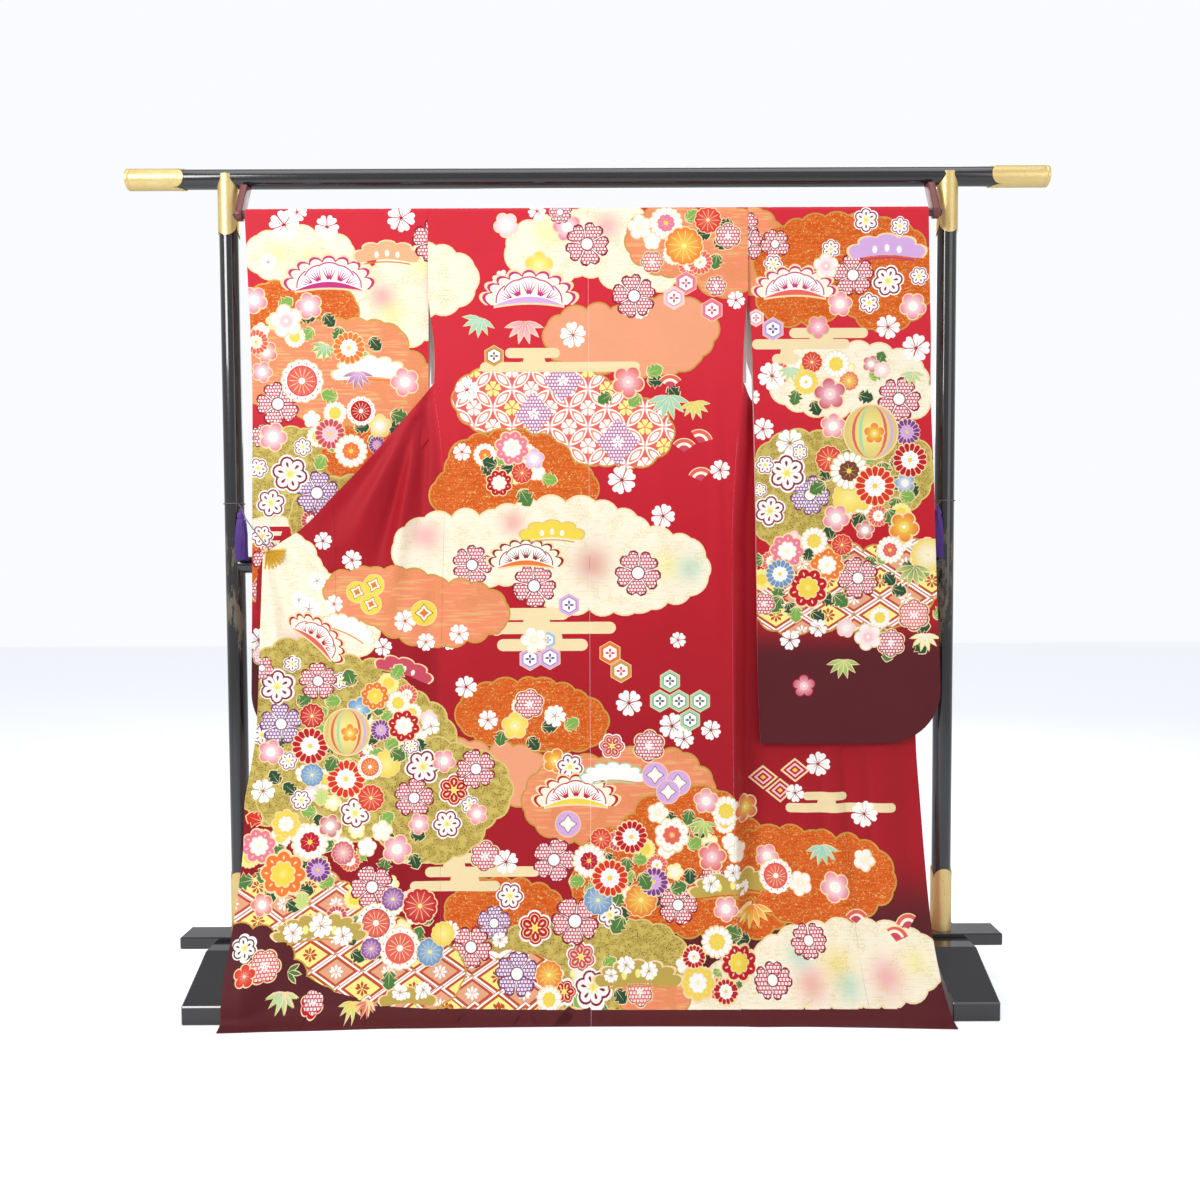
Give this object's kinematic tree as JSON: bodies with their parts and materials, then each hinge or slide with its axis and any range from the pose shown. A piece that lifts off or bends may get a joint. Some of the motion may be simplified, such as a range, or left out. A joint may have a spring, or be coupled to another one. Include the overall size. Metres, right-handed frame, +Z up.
{
  "type": "kimono on display stand",
  "caption": "Long-sleeved kimono hung by its sleeves on a lacquered display stand, its fronts drawn out to show the pattern.",
  "frame": {"origin": "on the floor, under the middle of the part's box", "axes": "+Z up, +X to the right of a viewer who faces the kimono's back, -Y towards that viewer"},
  "size_m": [1.8476, 0.4606, 1.6553],
  "materials": {
    "silk": "red figured silk with a dyed and gold-leafed flower pattern, white to red lining",
    "lacquer": "black gloss lacquer",
    "gold": "pale gold plating",
    "arm": "dark red-brown lacquer",
    "tassel": "purple rayon strands",
    "cord": "thin dark twisted cord"
  },
  "bodies": {
    "root": {"arm_left": "arm", "arm_right": "arm", "back_left": "silk", "back_right": "silk", "clip_left": "gold", "clip_right": "gold", "collar_end_left": "silk", "collar_end_right": "silk", "collar_neck": "silk", "collar_upper_left": "silk", "collar_upper_right": "silk", "cord_left": "cord", "cord_right": "cord", "cord_ring_left": "cord", "cord_ring_right": "cord", "crossbar": "lacquer", "end_cap_left": "gold", "end_cap_right": "gold", "foot_left": "lacquer", "foot_plate_left": "lacquer", "foot_plate_right": "lacquer", "foot_right": "lacquer", "front_left": "silk", "front_right": "silk", "hanging_rod": "lacquer", "middle_bar": "lacquer", "overlap_left": "silk", "overlap_right": "silk", "post_foot_fitting_left": "gold", "post_foot_fitting_right": "gold", "post_left": "lacquer", "post_right": "lacquer", "post_top_fitting_left": "gold", "post_top_fitting_right": "gold", "sleeve_back_left": "silk", "sleeve_back_right": "silk", "sleeve_front_left": "silk", "sleeve_front_right": "silk", "tassel_left": "tassel", "tassel_right": "tassel", "upper_front_left": "silk", "upper_front_right": "silk"}
  },
  "joints": []
}
